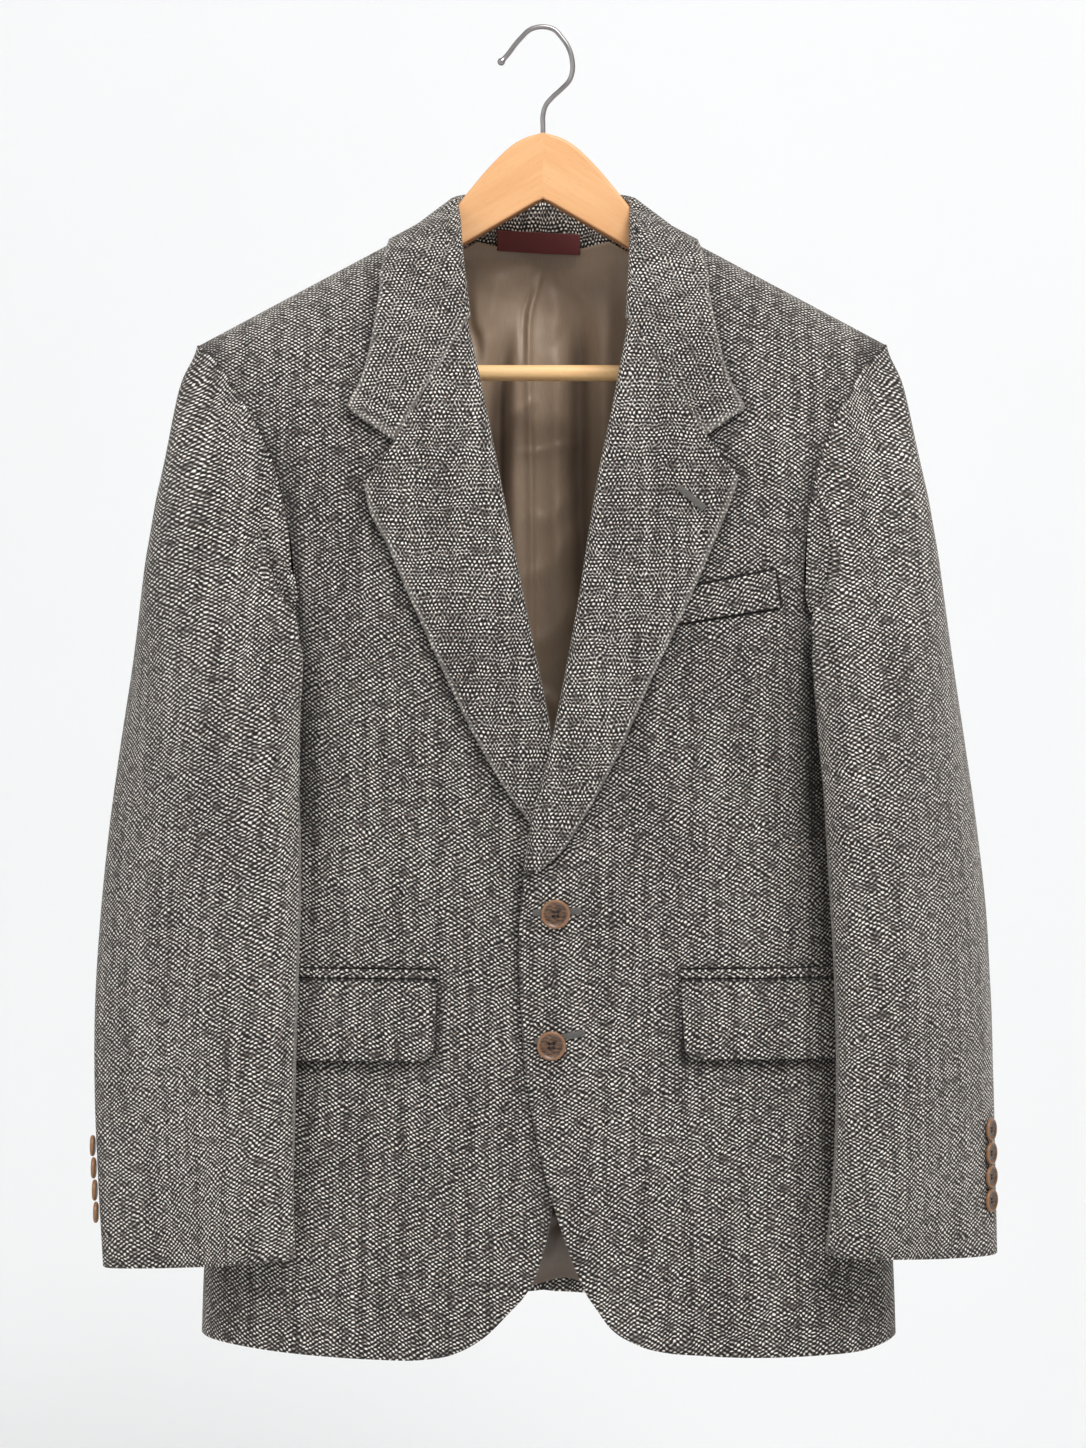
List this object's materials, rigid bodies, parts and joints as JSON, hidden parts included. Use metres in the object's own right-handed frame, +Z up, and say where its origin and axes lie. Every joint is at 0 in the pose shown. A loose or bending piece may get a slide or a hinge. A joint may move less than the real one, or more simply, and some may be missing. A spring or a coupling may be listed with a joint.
{
  "type": "tweed hacking jacket on a wooden hanger",
  "caption": "Single-breasted tweed hacking jacket with notch lapels, flap pockets and horn buttons, hung on a wooden hanger with a trouser bar and a steel hook.",
  "frame": {"origin": "inner top of the hanger's hook, where it rests on a rail", "axes": "+X to the wearer's left, -Y to the front of the jacket, +Z up"},
  "size_m": [0.6277, 0.1802, 0.9212],
  "materials": {
    "tweed": "matt woollen",
    "lining": "satin",
    "label": "woven",
    "horn": "polished",
    "wood": "varnished",
    "steel": "brushed"
  },
  "bodies": {
    "root": {"front_left": "tweed", "back_left": "tweed", "lapel_left": "tweed", "flap_left": "tweed", "jet_left": "tweed", "sleeve_top_left": "tweed", "sleeve_top_lower_left": "tweed", "sleeve_under_left": "tweed", "front_right": "tweed", "back_right": "tweed", "lapel_right": "tweed", "flap_right": "tweed", "jet_right": "tweed", "sleeve_top_right": "tweed", "sleeve_top_lower_right": "tweed", "sleeve_under_right": "tweed", "collar_fall": "tweed", "collar_stand": "tweed", "chest_welt": "tweed", "lining_back": "lining", "label": "label", "button_front_1": "horn", "button_front_2": "horn", "button_cuff_left_1": "horn", "button_cuff_left_2": "horn", "button_cuff_left_3": "horn", "button_cuff_left_4": "horn", "button_cuff_right_1": "horn", "button_cuff_right_2": "horn", "button_cuff_right_3": "horn", "button_cuff_right_4": "horn", "hanger_left": "wood", "hanger_right": "wood", "trouser_bar": "wood", "hook": "steel"}
  },
  "joints": []
}
